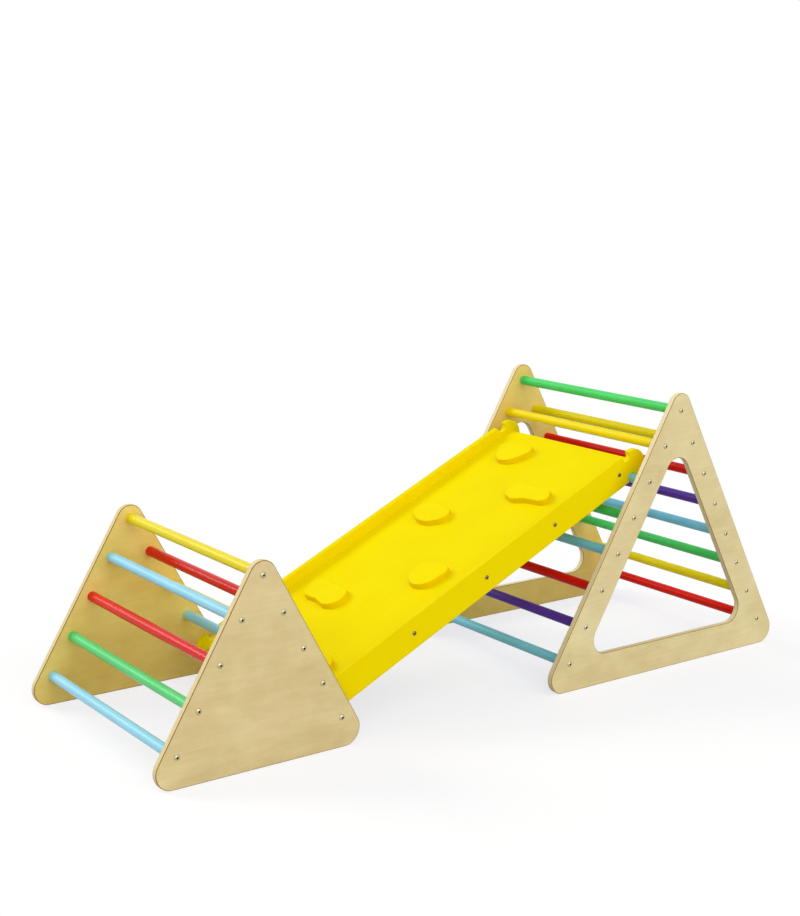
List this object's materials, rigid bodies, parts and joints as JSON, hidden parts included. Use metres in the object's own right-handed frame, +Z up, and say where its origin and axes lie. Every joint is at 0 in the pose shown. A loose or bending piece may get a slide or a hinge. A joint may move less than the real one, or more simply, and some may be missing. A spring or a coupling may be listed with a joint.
{
  "type": "climbing triangle set",
  "caption": "Wooden climbing set for small children: a large windowed rung triangle and a small solid one, joined by a hooked ramp with climbing grips.",
  "frame": {"origin": "bottom centre of the bounding box of the whole set, on the floor", "axes": "+X along the set from the small triangle to the large one, +Y across it to the far side of the picture, +Z up"},
  "size_m": [1.894, 0.6442, 0.7241],
  "materials": {
    "panel_plywood": "clear satin lacquer on plywood",
    "paint_green": "gloss paint",
    "paint_yellow": "gloss paint",
    "paint_blue": "gloss paint",
    "paint_red": "gloss paint",
    "paint_purple": "gloss paint",
    "ramp_paint": "satin paint",
    "grip_paint": "satin paint",
    "bolt_steel": "zinc plated",
    "insert_steel": "zinc plated",
    "screw_steel": "zinc plated",
    "dowel_wood": "plain"
  },
  "bodies": {
    "large_triangle": {"large_near_panel": "panel_plywood", "large_far_panel": "panel_plywood", "large_near_bolts": "bolt_steel", "large_far_bolts": "bolt_steel", "large_inserts": "insert_steel", "large_top_rung": "paint_green", "large_front_rung_1": "paint_yellow", "large_front_rung_2": "paint_blue", "large_front_rung_3": "paint_green", "large_front_rung_4": "paint_blue", "large_front_rung_5": "paint_red", "large_front_rung_6": "paint_purple", "large_front_rung_7": "paint_blue", "large_back_rung_1": "paint_yellow", "large_back_rung_2": "paint_red", "large_back_rung_3": "paint_purple", "large_back_rung_4": "paint_blue", "large_back_rung_5": "paint_green", "large_back_rung_6": "paint_yellow", "large_back_rung_7": "paint_red"},
    "ramp": {"ramp_near_rail": "ramp_paint", "ramp_far_rail": "ramp_paint", "ramp_board": "ramp_paint", "ramp_near_screws": "screw_steel", "ramp_far_screws": "screw_steel", "grip_1": "grip_paint", "grip_2": "grip_paint", "grip_3": "grip_paint", "grip_4": "grip_paint", "grip_5": "grip_paint", "grip_6": "grip_paint", "grip_dowels": "dowel_wood"},
    "small_triangle": {"small_near_panel": "panel_plywood", "small_far_panel": "panel_plywood", "small_near_bolts": "bolt_steel", "small_far_bolts": "bolt_steel", "small_inserts": "insert_steel", "small_top_rung": "paint_yellow", "small_front_rung_1": "paint_red", "small_front_rung_2": "paint_yellow", "small_front_rung_3": "paint_blue", "small_front_rung_4": "paint_yellow", "small_back_rung_1": "paint_blue", "small_back_rung_2": "paint_red", "small_back_rung_3": "paint_green", "small_back_rung_4": "paint_blue"}
  },
  "joints": [
    {"name": "ramp_hook", "type": "hinge", "parent": "large_triangle", "child": "ramp", "pos_m": [0.43849, -0.01, 0.50601], "axis": [0, 1, 0], "range_deg": [0, 1]},
    {"name": "small_triangle_shift", "type": "slide", "parent": "large_triangle", "child": "small_triangle", "axis": [0, 1, 0], "range_m": [-0.062, 0.022]}
  ]
}
